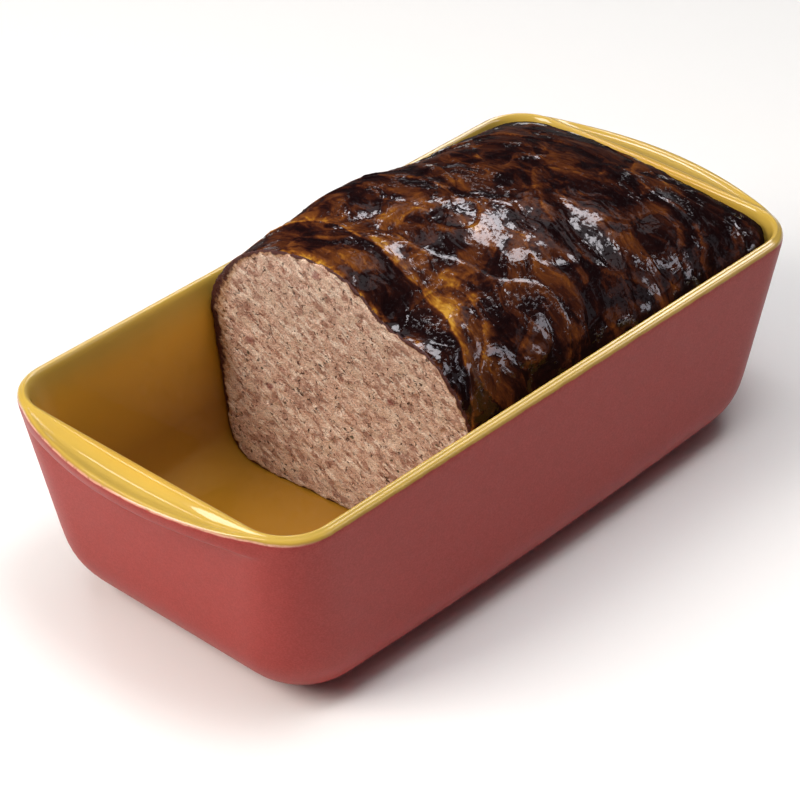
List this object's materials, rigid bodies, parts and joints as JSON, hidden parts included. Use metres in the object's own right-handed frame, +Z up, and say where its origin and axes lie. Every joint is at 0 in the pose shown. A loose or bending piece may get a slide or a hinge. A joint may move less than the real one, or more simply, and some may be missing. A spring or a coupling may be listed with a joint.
{
  "type": "country terrine in its dish",
  "caption": "Coarse meat loaf under a dark glossy crust, sliced away at one end, in a rectangular glazed earthenware baking dish with a grip at each end.",
  "frame": {"origin": "on the table under the middle of the dish", "axes": "+X along the dish, from its empty end towards the uncut end of the loaf; +Z up"},
  "size_m": [0.3132, 0.1492, 0.1228],
  "materials": {
    "dish_glaze": "glazed earthenware: brick red outside, ochre yellow inside and over the rim",
    "loaf_meat": "cooked coarse pork: matt pinkish tan on the cut face, glossy dark brown crust on top"
  },
  "bodies": {
    "root": {"terrine_dish": "dish_glaze", "terrine_loaf": "loaf_meat"}
  },
  "joints": []
}
